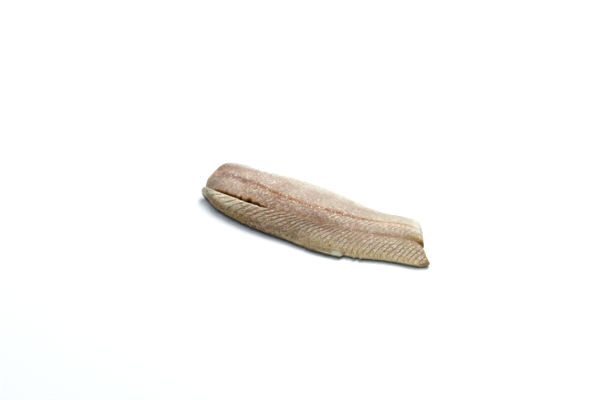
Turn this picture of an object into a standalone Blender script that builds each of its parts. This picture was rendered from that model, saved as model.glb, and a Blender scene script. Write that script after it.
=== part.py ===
"""A fresh herring fillet, cut from the bone and lying on its skin side, as one solid.

The fillet lies along X. Its back edge is at +Y and its belly edge at -Y. The flesh is up.
A thick rolled loin runs along the back and a thinner flap along the belly, with a groove
between them. At the blunt end (-X) the groove is an open slit. At the notched end (+X) it
runs out into a notch, so the oblique knife cut leaves two lobes. Low muscle ridges cross
the flesh in chevrons.
"""

import bmesh
import bpy
import numpy as np

MM = 0.001

FLESH_COLOUR = (0.61, 0.43, 0.29, 1.0)
FLESH_ROUGHNESS = 0.38

# Muscle ridges, as (share of the length, how many up to there): they are widest at the blunt end
RIDGE_COUNT = ((0.0, 0), (0.16, 5), (0.3, 9.7), (0.45, 15.8), (0.61, 23), (1.0, 41))

# Curves along the fillet as (along, across) stations, in millimetres
BACK_EDGE = ((-92, 21.5), (-72, 23.8), (-56, 25), (-40, 28.5), (-18, 30), (8, 28), (30, 25),
             (42, 25), (56, 28), (70, 30.5))
MIDLINE = ((-90, -6), (-80, -3.8), (-70, 0), (-56, 1.2), (-25, -1.2), (0, 0.6), (22, 3.7), (41, 7.7),
           (57, 13.2), (76, 14))
GROOVE = ((-90, -11.5), (-76, -14), (-62, -14.5), (-45, -14.8), (-10, -12.3), (20, -9), (42, -3.8),
          (57, 1), (70, 4.3), (78, 4.4))
BELLY_EDGE = ((-89, -12.3), (-82, -16.5), (-72, -23.2), (-62, -26.2), (-52, -28.2), (-32, -30),
              (-10, -30), (6, -29.6), (26, -26.3), (44, -22.6), (60, -17), (76, -13.3), (90, -9.2))

# Heights along the fillet as (along, height) stations, in millimetres
CREST_HEIGHT = ((-90, 17.2), (-77, 17.6), (-58, 16), (-30, 14.7), (0, 13.4), (40, 11.5), (80, 10))
GROOVE_HEIGHT = ((-90, 10), (-75, 11), (-60, 11.2), (-42, 11.2), (-20, 11.4), (0, 11.2), (20, 10.3),
                 (40, 9.2), (60, 8.4), (80, 7.4))
LIP_HEIGHT = ((-89, 6.5), (-82, 6.2), (-70, 5.8), (-50, 5.2), (-20, 4.0), (10, 3.0), (90, 2.7))

# How the section changes along the fillet, as (along, power) and (along, turn in radians).
# A high shoulder is a steep one, and a low rise starts with a step. The flap turns from steep
# at the lip to flat at the groove, and where it turns less it runs on into the loin.
SHOULDER = ((-90, 2.1), (-45, 1.9), (-15, 1.8), (20, 1.8), (50, 1.8), (80, 1.8))
LOIN_RISE = ((-90, 0.85), (-50, 0.9), (-32, 0.98), (-15, 1.1), (10, 1.1), (45, 1.1), (62, 1.2),
             (80, 1.3))
FLAP_TURN = ((-90, 1.7), (-50, 1.6), (-25, 1.25), (5, 1.1), (30, 1.15), (60, 1.25), (85, 1.3))

# Powers that are the same all along: the flap's swell, and the loin's fall behind its crest
FLAP_SWELL = 0.9
LOIN_FALL = 2.6

# Ends: how far along each stretch of the outline reaches, as (share of the width, along)
BLUNT_END = ((0.0, -89), (0.2, -88), (0.46, -86), (0.6, -87.5), (0.8, -88.4), (0.93, -86.8), (1.0, -81.5))
NOTCHED_END = ((0.0, 81.5), (0.05, 85.6), (0.12, 87.4), (0.2, 85.9), (0.3, 83), (0.42, 79.6),
               (0.475, 76.4), (0.51, 77.2), (0.6, 75.8), (0.7, 73.6), (0.83, 69.7), (0.93, 65), (1.0, 58.5))

# Shares of the width, from the belly edge, at which the groove and the midline lie
GROOVE_SHARE = 0.46
MIDLINE_SHARE = 0.70
CREST_SHARE = 0.75

# The slit beside the blunt end: the stretches where it opens and closes
SLIT_OPENS = (-88.0, -80.0)
SLIT_CLOSES = (-51.0, -37.0)
SLIT_DEPTH = 5.0
SLIT_HALF_WIDTH = 0.9

# The notch: the stretch where the groove deepens into it
NOTCH_DEEPENS = (62.0, 76.0)
NOTCH_DEPTH = 1.5
NOTCH_HALF_WIDTH = 1.3

# A thin lobe of the belly membrane that swells past the edge and ends in a step
LOBE_SWELLS = (-14.0, 25.5)
LOBE_STEPS_BACK = (30.0, 32.5)
LOBE_REACH = 3.0
LOBE_SHARE = 0.07

# How the ridges lean, as (share of the width, shift along the fillet)
CHEVRON = ((0.0, -7.5), (0.2, -5.5), (0.3, -3), (0.36, -0.5), (0.46, 4.5), (0.70, 7.5), (0.78, 1),
           (0.87, -6), (1.0, -12))
RIDGE_RELIEF = ((0.0, 0.0), (0.06, 0.18), (0.2, 0.28), (0.36, 0.26), (0.43, 0.12), (0.46, 0.05),
                (0.5, 0.07), (0.56, 0.12), (0.66, 0.14), (0.72, 0.11), (0.82, 0.08), (0.94, 0.03), (1.0, 0.0))

# The share of the length over which the lean fades, and the distances from each end
# over which the relief grows
END_BLEND = 0.14
RELIEF_FROM_BLUNT = (1.0, 9.0)
RELIEF_FROM_NOTCHED = (0.5, 4.0)

# The shallow furrow along the midline
MIDLINE_DEPTH = 0.35
MIDLINE_HALF_WIDTH = 2.0

# Rounding of the two ends, as (share of the width, radius)
BLUNT_ROUNDING = ((0.0, 2.0), (0.42, 2.5), (0.6, 8.0), (1.0, 8.0))
CUT_ROUNDING = ((0.0, 2.4), (0.42, 2.8), (0.55, 4.0), (1.0, 4.0))

# The rim is where the body is widest: its share of the height there, and its height at the blunt end
BACK_RIM = 0.40
CUT_RIM = ((0.0, 0.6), (0.42, 0.4), (0.55, 0.5), (0.9, 0.6), (1.0, 0.95))
BLUNT_RIM = ((0.0, 4.8), (0.42, 6.6), (0.6, 7.0), (1.0, 7.4))

# How far the wall draws in at its foot, as shares of the width and the length, the share of its
# height below which it does, and the power of its run: under 1, it runs in almost flat at first
BACK_DRAW_IN = 0.05
BELLY_DRAW_IN = 0.17
END_DRAW_IN = 0.018
DRAWN_BELOW = 0.72
DRAW_POWER = 0.8

# How far the lip's top tucks in, as a share of the width for each millimetre of its height,
# the share of the wall's height above which it does, and the share of the width it takes
LIP_TUCK = 0.006
TUCK_ABOVE = 0.5
TUCK_WIDTH = 0.14

# Columns that round the blunt end, rows across the fillet, and levels of its wall.
# The other columns are each ridge's crest and valley, half a ridge apart, from the least gap on.
COLUMNS_BLUNT = (0.0, 0.003, 0.008, 0.016, 0.027, 0.04)
ROWS_BELLY = (0.0, 0.015, 0.04, 0.07, 0.11, 0.16, 0.21, 0.26, 0.31, 0.36, 0.40, 0.43, 0.447)
ROWS_LOIN = (0.46, 0.475, 0.50, 0.53, 0.57, 0.61, 0.65, 0.68, 0.70, 0.72, 0.75, 0.79, 0.83, 0.87, 0.905,
             0.935, 0.96, 0.98, 0.993, 1.0)
WALL_LEVELS = (0.0, 0.36, DRAWN_BELOW, 1.0)
HALF_RIDGE = 0.5
LEAST_GAP = 0.005

# How near a cell's cut may pass a corner of the block without cutting beside it
CUT_TOLERANCE = 1e-7


def follow(stations, at):
    """A smooth curve through (place, value) stations, read at the given places."""
    places, values = np.array(stations, float).T
    slopes = np.gradient(values, places)
    i = np.clip(np.searchsorted(places, at) - 1, 0, len(places) - 2)
    step = places[i + 1] - places[i]
    t = np.clip((at - places[i]) / step, 0.0, 1.0)
    start = (1 + 2 * t) * (1 - t) ** 2 * values[i] + t * (1 - t) ** 2 * step * slopes[i]
    end = t ** 2 * (3 - 2 * t) * values[i + 1] + t ** 2 * (t - 1) * step * slopes[i + 1]
    return start + end


def ramp(value, low, high):
    """0 below low, 1 above high, and a smooth rise between."""
    t = np.clip((value - low) / (high - low), 0.0, 1.0)
    return t * t * (3 - 2 * t)


def rounded(distance, radius):
    """The rise of a quarter circle: 0 at the edge, 1 once the radius is passed."""
    t = np.clip(distance / radius, 0.0, 1.0)
    return np.sqrt(1 - (1 - t) ** 2)


def across(x, v):
    """The place across the fillet of share v of the width, at x along it.

    The membrane lobe swells slowly past the belly edge and ends in a step.
    """
    shares = (0.0, GROOVE_SHARE, MIDLINE_SHARE, 1.0)
    rails = (follow(BELLY_EDGE, x), follow(GROOVE, x), follow(MIDLINE, x), follow(BACK_EDGE, x))
    swell = ramp(x, *LOBE_SWELLS) * (1 - ramp(x, *LOBE_STEPS_BACK))
    y = rails[0] - LOBE_REACH * swell * (1 - ramp(v, 0.0, LOBE_SHARE))
    for low, high, start, end in zip(shares, shares[1:], rails, rails[1:]):
        t = np.clip((v - low) / (high - low), 0.0, 1.0)
        y = y + t * (end - start)
    return y


def plan(u, v):
    """The place in plan of share u of the length and share v of the width."""
    blunt = follow(BLUNT_END, v)
    notched = follow(NOTCHED_END, v)
    inside = ramp(u, 0.0, END_BLEND) * (1 - ramp(u, 1 - END_BLEND, 1.0))
    x = blunt + u * (notched - blunt) + inside * follow(CHEVRON, v)
    return x, across(x, v), x - blunt, notched - x


def ridge_count(u):
    """How many ridges there are up to share u of the length. A whole number is a crest."""
    shares, counts = zip(*RIDGE_COUNT)
    return np.interp(u, shares, counts)


def body_height(x, v):
    """The height of the flesh, before the ends are rounded and the ridges are added."""
    groove = follow(GROOVE_HEIGHT, x)
    crest = follow(CREST_HEIGHT, x)
    flap, turn = np.clip(v / GROOVE_SHARE, 0.0, 1.0), follow(FLAP_TURN, x)
    lip = follow(LIP_HEIGHT, x)
    flap_height = lip + (groove - lip) * (np.sin(flap * turn) / np.sin(turn)) ** FLAP_SWELL
    near_side = np.clip((v - GROOVE_SHARE) / (CREST_SHARE - GROOVE_SHARE), 0.0, 1.0)
    far_side = np.clip((v - CREST_SHARE) / (1 - CREST_SHARE), 0.0, 1.0)
    rise = (1 - (1 - near_side) ** follow(SHOULDER, x)) ** follow(LOIN_RISE, x)
    fall = np.sqrt(1 - far_side ** LOIN_FALL)
    rim = BACK_RIM * crest
    loin_height = np.where(v < CREST_SHARE, groove + (crest - groove) * rise, rim + (crest - rim) * fall)
    return np.where(v < GROOVE_SHARE, flap_height, loin_height)


def top_height(u, v, x, y, from_blunt, from_notched):
    """The flesh surface: the body with its slit, midline, rounded ends and ridges."""
    z = body_height(x, v)
    groove_gap = np.abs(y - follow(GROOVE, x))
    slit = ramp(x, *SLIT_OPENS) * (1 - ramp(x, *SLIT_CLOSES))
    z = z - SLIT_DEPTH * slit * (1 - ramp(groove_gap, 0.0, SLIT_HALF_WIDTH))
    z = z - NOTCH_DEPTH * ramp(x, *NOTCH_DEEPENS) * (1 - ramp(groove_gap, 0.0, NOTCH_HALF_WIDTH))
    midline_gap = np.abs(y - follow(MIDLINE, x))
    z = z - MIDLINE_DEPTH * (1 - ramp(midline_gap, 0.0, MIDLINE_HALF_WIDTH))
    fade = ramp(from_blunt, *RELIEF_FROM_BLUNT) * ramp(from_notched, *RELIEF_FROM_NOTCHED)
    z = z + np.cos(2 * np.pi * ridge_count(u)) * fade * follow(RIDGE_RELIEF, v)
    rim = np.where(from_blunt < from_notched, np.minimum(z, follow(BLUNT_RIM, v)), z * follow(CUT_RIM, v))
    ends = rounded(from_blunt, follow(BLUNT_ROUNDING, v)) * rounded(from_notched, follow(CUT_ROUNDING, v))
    return rim + (z - rim) * ends


def carried(stations):
    """The points of a unit block (u, v, w) carried to the surface of the fillet, in millimetres."""
    u, v, w = stations.T
    x, y, from_blunt, from_notched = plan(u, v)
    top = top_height(u, v, x, y, from_blunt, from_notched)
    inset = np.clip(1 - w / DRAWN_BELOW, 0.0, 1.0) ** DRAW_POWER
    tuck = LIP_TUCK * follow(LIP_HEIGHT, x) * ramp(w, TUCK_ABOVE, 1.0) * (1 - ramp(v, 0.0, TUCK_WIDTH))
    drawn_u = u + inset * END_DRAW_IN * (1 - 2 * u)
    drawn_v = v + inset * (BELLY_DRAW_IN * (1 - v) - BACK_DRAW_IN * v) + tuck
    x, y = plan(drawn_u, drawn_v)[:2]
    return np.column_stack([x, y, top * w])


def cut_block(columns, rows, levels):
    """A unit cube whose faces are cut along every given station of its three sides."""
    block = bmesh.new()
    bmesh.ops.create_cube(block, size=1.0)
    bmesh.ops.translate(block, verts=block.verts, vec=(0.5, 0.5, 0.5))
    for axis, stations in enumerate((columns, rows, levels)):
        normal = [0.0, 0.0, 0.0]
        normal[axis] = 1.0
        for station in stations[1:-1]:
            point = [0.0, 0.0, 0.0]
            point[axis] = station
            whole = block.verts[:] + block.edges[:] + block.faces[:]
            bmesh.ops.bisect_plane(block, geom=whole, dist=CUT_TOLERANCE, plane_co=point, plane_no=normal)
    return block


def flesh_material():
    material = bpy.data.materials.new("herring_flesh")
    material.use_nodes = True
    shader = material.node_tree.nodes["Principled BSDF"]
    shader.inputs["Base Color"].default_value = FLESH_COLOUR
    shader.inputs["Roughness"].default_value = FLESH_ROUGHNESS
    shader.inputs["Metallic"].default_value = 0.0
    return material


def make_fillet(collection):
    """The fillet: a block cut into cells, with its skin carried to shape."""
    shares, counts = zip(*RIDGE_COUNT)
    crests_and_valleys = np.interp(np.arange(0, counts[-1] + HALF_RIDGE, HALF_RIDGE), counts, shares)
    clear = crests_and_valleys > COLUMNS_BLUNT[-1] + LEAST_GAP
    columns = COLUMNS_BLUNT + tuple(crests_and_valleys[clear])
    block = cut_block(columns, ROWS_BELLY + ROWS_LOIN, WALL_LEVELS)
    block.verts.ensure_lookup_table()
    points = carried(np.array([vert.co for vert in block.verts]))
    middle = (points.min(axis=0) + points.max(axis=0)) / 2
    middle[2] = 0.0
    for vert, place in zip(block.verts, (points - middle) * MM):
        vert.co = place
    bmesh.ops.recalc_face_normals(block, faces=block.faces)
    mesh = bpy.data.meshes.new("herring_fillet")
    block.to_mesh(mesh)
    block.free()
    mesh.shade_smooth()
    mesh.materials.append(flesh_material())
    fillet = bpy.data.objects.new("herring_fillet", mesh)
    collection.objects.link(fillet)
    return fillet


def main():
    for old in list(bpy.data.objects):
        bpy.data.objects.remove(old, do_unlink=True)
    collection = bpy.data.collections.new("fresh_herring")
    bpy.context.scene.collection.children.link(collection)
    make_fillet(collection)


main()
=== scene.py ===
# %% [markdown]
# # A fresh herring fillet
# The fillet lies on its skin side with the flesh up. A thick rolled loin runs along the back,
# and a thin flap runs along the belly. This lesson dresses the plain solid of that fillet: first
# the surface with its muscle ridges, its slit and its cut ends, then the moist flesh, then the
# light. Lengths are worked out in millimetres and become metres at the end.

# %% Load the solid
import math

import bpy
import numpy as np
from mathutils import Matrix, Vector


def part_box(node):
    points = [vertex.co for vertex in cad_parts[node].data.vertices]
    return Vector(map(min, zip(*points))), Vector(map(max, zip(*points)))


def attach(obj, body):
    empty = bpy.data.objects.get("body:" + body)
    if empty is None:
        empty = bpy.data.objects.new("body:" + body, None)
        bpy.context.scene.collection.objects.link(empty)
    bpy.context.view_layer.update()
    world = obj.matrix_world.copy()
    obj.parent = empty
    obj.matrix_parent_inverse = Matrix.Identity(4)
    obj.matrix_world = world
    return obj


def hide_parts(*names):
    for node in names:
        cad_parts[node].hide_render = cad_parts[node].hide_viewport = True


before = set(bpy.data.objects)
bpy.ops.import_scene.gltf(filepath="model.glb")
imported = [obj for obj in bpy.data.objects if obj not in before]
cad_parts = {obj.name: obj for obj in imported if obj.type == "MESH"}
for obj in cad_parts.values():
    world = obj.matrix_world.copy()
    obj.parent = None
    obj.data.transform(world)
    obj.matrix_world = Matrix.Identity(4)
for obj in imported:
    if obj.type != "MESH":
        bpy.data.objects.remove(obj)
scene = bpy.context.scene
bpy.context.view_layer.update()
solid_low, solid_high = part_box("herring_fillet")
MM = 0.001
print("solids:", len(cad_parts))
print("solid, mm:", [round((b - a) / MM, 1) for a, b in zip(solid_low, solid_high)])

# %% [markdown]
# ## Curves and rises
# A fillet has no straight line in it. Its outline, its thickness and the lean of its muscle all
# change slowly along its length. A designer would draw each as a curve through a few stations,
# so that is what these helpers do. A subdivision cage would also work, but the same curves are
# needed again for the colours, and a formula can be read twice.

# %% Helpers for smooth curves


def portion(value, low, high):
    """How far the value has come from low to high, kept between 0 and 1."""
    return np.clip((value - low) / (high - low), 0, 1)


def follow(stations, at):
    """A smooth curve through (place, value) stations.

    Between two stations it is the cubic that meets both values with the slopes there.
    """
    places, values = np.array(stations, float).T
    slopes = np.gradient(values, places)
    i = np.clip(np.searchsorted(places, at) - 1, 0, len(places) - 2)
    step = places[i + 1] - places[i]
    t = portion(at, places[i], places[i + 1])
    start = (1 + 2 * t) * (1 - t) ** 2 * values[i] + t * (1 - t) ** 2 * step * slopes[i]
    end = t ** 2 * (3 - 2 * t) * values[i + 1] + t ** 2 * (t - 1) * step * slopes[i + 1]
    return start + end


def ramp(value, low, high):
    """0 below low, 1 above high: 3t^2 - 2t^3 between, with t the portion of the way."""
    t = portion(value, low, high)
    return t * t * (3 - 2 * t)


def rounded(distance, radius):
    """The rise of a quarter circle: the root of 1 - (1 - t)^2, with t the share of the radius."""
    return np.sqrt(1 - (1 - portion(distance, 0, radius)) ** 2)


def near(value, place, half_width, flat=0):
    """A hump: 1 less the ramp of the distance from the place, up to the half width.

    Its top is flat over that share of the half width.
    """
    return 1 - ramp(np.abs(value - place), flat * half_width, half_width)


print("a rise at its middle:", ramp(0.5, 0, 1))

# %% Helpers for unevenness
LATTICE = 256


def lumps(x, y, size, seed):
    """Soft unevenness from -1 to 1: random values on a square lattice, eased between them."""
    lattice = np.random.default_rng(seed).uniform(-1, 1, (LATTICE, LATTICE))
    column, row = np.broadcast_arrays(np.asarray(x) / size, np.asarray(y) / size)
    i, j = np.floor(column).astype(int), np.floor(row).astype(int)
    s, t = ramp(column - i, 0, 1), ramp(row - j, 0, 1)
    i, j, next_i, next_j = (k % LATTICE for k in (i, j, i + 1, j + 1))
    near_row = lattice[i, j] * (1 - s) + lattice[next_i, j] * s
    far_row = lattice[i, next_j] * (1 - s) + lattice[next_i, next_j] * s
    return near_row * (1 - t) + far_row * t


def unevenness(x, y, layers):
    """Lumps of several sizes laid on each other, where a layer is (height, size, seed)."""
    return sum(height * lumps(x, y, size, seed) for height, size, seed in layers)


print("values on the lattice:", LATTICE ** 2)

# %% [markdown]
# ## The fillet's own curves
# These stations are the drawing of the fillet. Four rails run along it: the belly edge, the
# groove between flap and loin, the midline of the loin, and the back edge. A share of the width
# says how far a point is from the belly edge (0) to the back edge (1). The groove lies at share
# 0.46 and the midline at 0.70. The solid was drawn with the same rails.

# %% Stations of the rails, as (place along, place across)
BACK_EDGE = ((-92, 21.5), (-72, 23.8), (-56, 25), (-40, 28.5), (-18, 30), (8, 28), (30, 25),
             (42, 25), (56, 28), (70, 30.5))
MIDLINE = ((-90, -6), (-80, -3.8), (-70, 0), (-56, 1.2), (-25, -1.2), (0, 0.6), (22, 3.7),
           (41, 7.7), (57, 13.2), (76, 14))
GROOVE = ((-90, -11.5), (-76, -14), (-62, -14.5), (-45, -14.8), (-10, -12.3), (20, -9), (42, -3.8),
          (57, 1), (70, 4.3), (78, 4.4))
BELLY_EDGE = ((-89, -12.3), (-82, -16.5), (-72, -23.2), (-62, -26.2), (-52, -28.2), (-32, -30),
              (-10, -30), (6, -29.6), (26, -26.3), (44, -22.6), (60, -17), (76, -13.3), (90, -9.2))
GROOVE_SHARE, MIDLINE_SHARE, CREST_SHARE = 0.46, 0.70, 0.75
# The middle of the box that these stations span, where the solid has its origin
MIDDLE = (-0.785, -0.396)
print("stations of the belly edge:", len(BELLY_EDGE))

# %% Stations of the two ends, as (share of the width, place along)
BLUNT_END = ((0, -89), (0.2, -88), (0.46, -86), (0.6, -87.5), (0.8, -88.4), (0.93, -86.8),
             (1, -81.5))
NOTCHED_END = ((0, 81.5), (0.05, 85.6), (0.12, 87.4), (0.2, 85.9), (0.3, 83), (0.42, 79.6),
               (0.475, 76.4), (0.51, 77.2), (0.6, 75.8), (0.7, 73.6), (0.83, 69.7), (0.93, 65),
               (1, 58.5))
print("slant of the cut, mm:", NOTCHED_END[0][1] - NOTCHED_END[-1][1])

# %% Stations of the heights, as (place along, height)
CREST_HEIGHT = ((-90, 17.2), (-77, 17.6), (-58, 16), (-30, 14.7), (0, 13.4), (40, 11.5), (80, 10))
GROOVE_HEIGHT = ((-90, 10), (-75, 11), (-60, 11.2), (-42, 11.2), (-20, 11.4), (0, 11.2),
                 (20, 10.3), (40, 9.2), (60, 8.4), (80, 7.4))
LIP_HEIGHT = ((-89, 6.5), (-82, 6.2), (-70, 5.8), (-50, 5.2), (-20, 4), (10, 3), (90, 2.7))
# The back rim's height is this share of the crest's
BACK_RIM = 0.40
# Powers of the curves across the loin and the flap: a higher one makes a fuller roll
SHOULDER = ((-90, 2.1), (-45, 1.9), (-15, 1.8), (20, 1.8), (50, 1.8), (80, 1.8))
LOIN_RISE = ((-90, 0.85), (-50, 0.9), (-32, 0.98), (-15, 1.1), (10, 1.1), (45, 1.1), (62, 1.2),
             (80, 1.3))
LOIN_FALL, FLAP_SWELL = 2.6, 0.9
# How much of a sine's rise the flap takes, in radians: past 1.57 it is flat at the groove
FLAP_TURN = ((-90, 1.7), (-50, 1.6), (-25, 1.25), (5, 1.1), (30, 1.15), (60, 1.25), (85, 1.3))
print("crest at the blunt end, mm:", CREST_HEIGHT[0][1])

# %% Where a share of the length and the width lies in plan
LOBE_SWELLS, LOBE_STEPS_BACK = (-14, 25.5), (30, 32.5)
LOBE_REACH, LOBE_SHARE = 3, 0.07
# Layers of the belly edge's unevenness, and how much calmer the lobe is
FRAY, LOBE_CALM = ((0.30, 3.1, 11), (0.16, 1.1, 12)), 0.6
# Torn tabs on the belly edge, as (along, reach, half width)
TABS = ((-38, 0.5, 2), (3.4, -0.9, 1.5), (39.2, 1.3, 1), (41.4, -0.5, 0.9),
        (43.6, 1.4, 1.3), (52, 0.5, 1.5))


def lobe(x):
    """How far out the thin membrane lobe stands: a slow swell, then a step back."""
    return ramp(x, *LOBE_SWELLS) * (1 - ramp(x, *LOBE_STEPS_BACK))


def fray(x):
    """How ragged the belly edge is: two sizes of unevenness, plus the torn tabs."""
    edge = unevenness(x, 0, FRAY) * (1 - LOBE_CALM * lobe(x))
    return edge + sum(reach * near(x, place, half) for place, reach, half in TABS)


def across(x, v):
    """The place across the fillet: straight runs between the rails, at their shares."""
    shares = (0, GROOVE_SHARE, MIDLINE_SHARE, 1)
    rails = [follow(rail, x) for rail in (BELLY_EDGE, GROOVE, MIDLINE, BACK_EDGE)]
    y = rails[0] - (LOBE_REACH * lobe(x) + fray(x)) * (1 - ramp(v, 0, LOBE_SHARE))
    for low, high, start, end in zip(shares, shares[1:], rails, rails[1:]):
        y = y + portion(v, low, high) * (end - start)
    return y


def plan(u, v):
    """The place in plan, and the distances to the two ends along the fillet."""
    blunt, notched = follow(BLUNT_END, v), follow(NOTCHED_END, v)
    x = blunt + u * (notched - blunt)
    return x, across(x, v), x - blunt, notched - x


print("width at the middle, mm:", np.round(across(0, 1) - across(0, 0), 1))

# %% [markdown]
# ## Muscle ridges
# Fish muscle is stacked in thin sheets, and a fillet knife cuts across the stack. Each sheet
# shows as a low ridge, with a crease to the next one. The ridges bend: on the flap they sweep
# towards the notched end as they near the groove, and on the far side of the loin they sweep
# back. A repeated array could not bend like that. So each point gets a ridge number, which is
# its place along the fillet less the lean of the ridges there, over the pitch. The same number
# drives the creases here and their colour later.

# %% Ridge numbers
# How many ridges there are up to each place: they are almost twice as wide at the blunt end
RIDGE_COUNT = ((-120, -20.5), (-90, -15.8), (-60, -10.8), (-35, -6.07), (-8, 0), (20, 7.09),
               (90, 25.5))
# Layers of their wander, in ridges
WANDER = ((0.24, 13, 21), (0.07, 3.6, 22), (0.06, 1.5, 25))
# The lean of the ridges as (share of the width, shift), where the fillet is at each x
LEANS = {
    -74: ((0, 0), (0.1, 1), (0.2, 3), (0.3, 6), (0.4, 10), (0.46, 12.5), (0.58, 14),
          (0.70, 15), (0.76, 6), (0.85, -5), (1, -19)),
    -54: ((0, 0), (0.1, 1.6), (0.2, 4.4), (0.3, 7.6), (0.4, 10.6), (0.46, 12.4),
          (0.58, 14.4), (0.70, 15.4), (0.76, 6.4), (0.85, -5.1), (1, -19.1)),
    -32: ((0, 0), (0.1, 1.5), (0.18, 3.4), (0.25, 6), (0.32, 8.8), (0.36, 10.4), (0.41, 12.6),
          (0.46, 14.5), (0.58, 16), (0.70, 17.5), (0.76, 8.5), (0.85, -4.5), (1, -18.5)),
    -16: ((0, 0), (0.09, 1), (0.16, 2.8), (0.23, 5.2), (0.3, 8), (0.34, 10), (0.37, 12),
          (0.41, 14.6), (0.46, 17), (0.58, 19), (0.70, 21), (0.76, 12), (0.85, -1), (1, -15)),
    6: ((0, 0), (0.13, 1.3), (0.25, 4), (0.34, 7), (0.39, 9.5), (0.43, 12.5), (0.47, 15),
        (0.58, 16.5), (0.70, 18), (0.76, 9), (0.85, -4), (1, -18)),
    30: ((0, 0), (0.12, 1), (0.24, 3), (0.32, 5), (0.38, 6.6), (0.47, 9), (0.58, 10),
         (0.70, 11), (0.76, 2), (0.85, -10), (1, -22)),
    65: ((0, 0), (0.04, 0.6), (0.14, 2.3), (0.26, 4), (0.37, 5.8), (0.46, 7), (0.58, 8.4),
         (0.70, 9.6), (0.76, 1), (0.85, -10), (1, -22)),
}


def lean(x, v):
    """The shift of the ridges: the leans of the two nearest places, mixed by distance."""
    places = sorted(LEANS)
    leans = [follow(LEANS[place], v) for place in places]
    shift = leans[0]
    for start, end, before, after in zip(places, places[1:], leans, leans[1:]):
        shift = shift + ramp(x, start, end) * (after - before)
    return shift


def ridge_number(x, y, v):
    """The count of ridges up to (place - lean), with a slow wander so that no two are alike."""
    return follow(RIDGE_COUNT, x - lean(x, v)) + unevenness(x, y, WANDER)


flap_ends = np.array([-85, 80])
print("ridges along the flap's middle:", int(np.ptp(ridge_number(flap_ends, -20, 0.2))))

# %% How deep the ridges are
# By share of the width, in the fillet's middle and at the cut, and how one becomes the other
RIDGE_IN_MIDDLE = ((0, 0.1), (0.04, 0.25), (0.12, 0.45), (0.24, 0.8), (0.34, 1), (0.42, 0.75),
                   (0.46, 0.25), (0.5, 0.2), (0.58, 0.34), (0.66, 0.42), (0.72, 0.26), (0.8, 0.18),
                   (0.94, 0.1), (1, 0))
RIDGE_AT_CUT = ((0, 0.4), (0.03, 0.75), (0.1, 1), (0.24, 1), (0.34, 0.65), (0.42, 0.3),
                (0.46, 0.15), (0.52, 0.25), (0.6, 0.6), (0.66, 0.6), (0.72, 0.25), (0.8, 0.15),
                (1, 0))
TOWARDS_CUT = (22, 52)
# By place along the fillet: their strength, and the power that narrows their creases
RIDGE_ALONG = ((-90, 0.8), (-50, 1.3), (-10, 1.25), (20, 1), (50, 0.7), (80, 0.8))
CREASE_POWER = ((-90, 1.3), (-40, 1.6), (-10, 2.2), (20, 2.6), (50, 2), (80, 1.6))
# Layers of unevenness in their strength, on a map whose width is this many millimetres
STRENGTH_PATCHES, MAP_WIDTH = ((0.40, 7, 23), (0.40, 2.2, 24)), 45
# Dull patches on the flap, as (place, half width, flat share of its top) along and across
DULL_PATCHES = (((0, 30), (0.49, 0.13)), ((-14, 48, 0.3), (0, 0.30, 0.4)))
# The blunt half of the loin is dull too: where it starts across, and where it ends along
DULL_LOIN_STARTS, DULL_LOIN_ENDS = (0.44, 0.50), (-12, 22)
DULLNESS = 0.85


def ridge_strength(x, v):
    """The product of a curve across, a curve along, unevenness, and dull patches.

    The dull patches are beside the groove, on the lower half of the flap's middle, and on the
    blunt half of the loin, where the flesh is torn.
    """
    dull = ramp(v, *DULL_LOIN_STARTS) * (1 - ramp(x, *DULL_LOIN_ENDS))
    for in_length, in_width in DULL_PATCHES:
        dull = np.maximum(dull, near(x, *in_length) * near(v, *in_width))
    patches = 1 + unevenness(x, v * MAP_WIDTH, STRENGTH_PATCHES)
    by_share = follow(RIDGE_IN_MIDDLE, v)
    by_share = by_share + ramp(x, *TOWARDS_CUT) * (follow(RIDGE_AT_CUT, v) - by_share)
    return by_share * follow(RIDGE_ALONG, x) * (1 - DULLNESS * dull) * patches


def ridge_profile(number, x):
    """1 on a ridge and 0 in its crease: 1 - (1 - |sine|)^p. A high p is a narrow crease."""
    return 1 - (1 - np.abs(np.sin(np.pi * number))) ** follow(CREASE_POWER, x)


print("strength in the flap's middle:", np.round(ridge_strength(-20, 0.34), 2))

# %% [markdown]
# ## Height of the flesh
# The section is a thin lip that swells to the groove, then a roll that climbs to its crest and
# falls to the back. Into it go the open slit, the furrow of the midline, and the notch. A knife
# or a Boolean could cut the slit, but its torn edge is easier to shape as a trench whose width
# changes from place to place.

# %% The body before any detail


def body_height(x, v):
    """The height across the fillet, in three runs.

    Flap: lip + swell * (a sine of its turn)^swell. Loin up to its crest: a power of
    1 - (1 - t)^shoulder. From the crest to the back rim: the root of 1 - t^fall.
    """
    groove, crest, lip = follow(GROOVE_HEIGHT, x), follow(CREST_HEIGHT, x), follow(LIP_HEIGHT, x)
    flap, turn = portion(v, 0, GROOVE_SHARE), follow(FLAP_TURN, x)
    flap_height = lip + (groove - lip) * (np.sin(flap * turn) / np.sin(turn)) ** FLAP_SWELL
    near_side = portion(v, GROOVE_SHARE, CREST_SHARE)
    rise = (1 - (1 - near_side) ** follow(SHOULDER, x)) ** follow(LOIN_RISE, x)
    rim = BACK_RIM * crest
    fall = rim + (crest - rim) * np.sqrt(1 - portion(v, CREST_SHARE, 1) ** LOIN_FALL)
    loin_height = np.where(v < CREST_SHARE, groove + (crest - groove) * rise, fall)
    return np.where(v < GROOVE_SHARE, flap_height, loin_height)


print("height at the crest, mm:", body_height(0, CREST_SHARE).round(1))

# %% The slit, the furrow and the notch
SLIT_DEPTH = ((-90, 2), (-62, 2.4), (-55, 4.6), (-44, 5), (-36, 3.6), (-30, 2))
SLIT_WIDTH = ((-90, 0.4), (-78, 0.6), (-70, 0.75), (-60, 0.9), (-46, 1.2), (-37, 0.8), (-31, 0.3))
SLIT_OPENS, SLIT_CLOSES = (-81, -67), (-40, -32)
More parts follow.
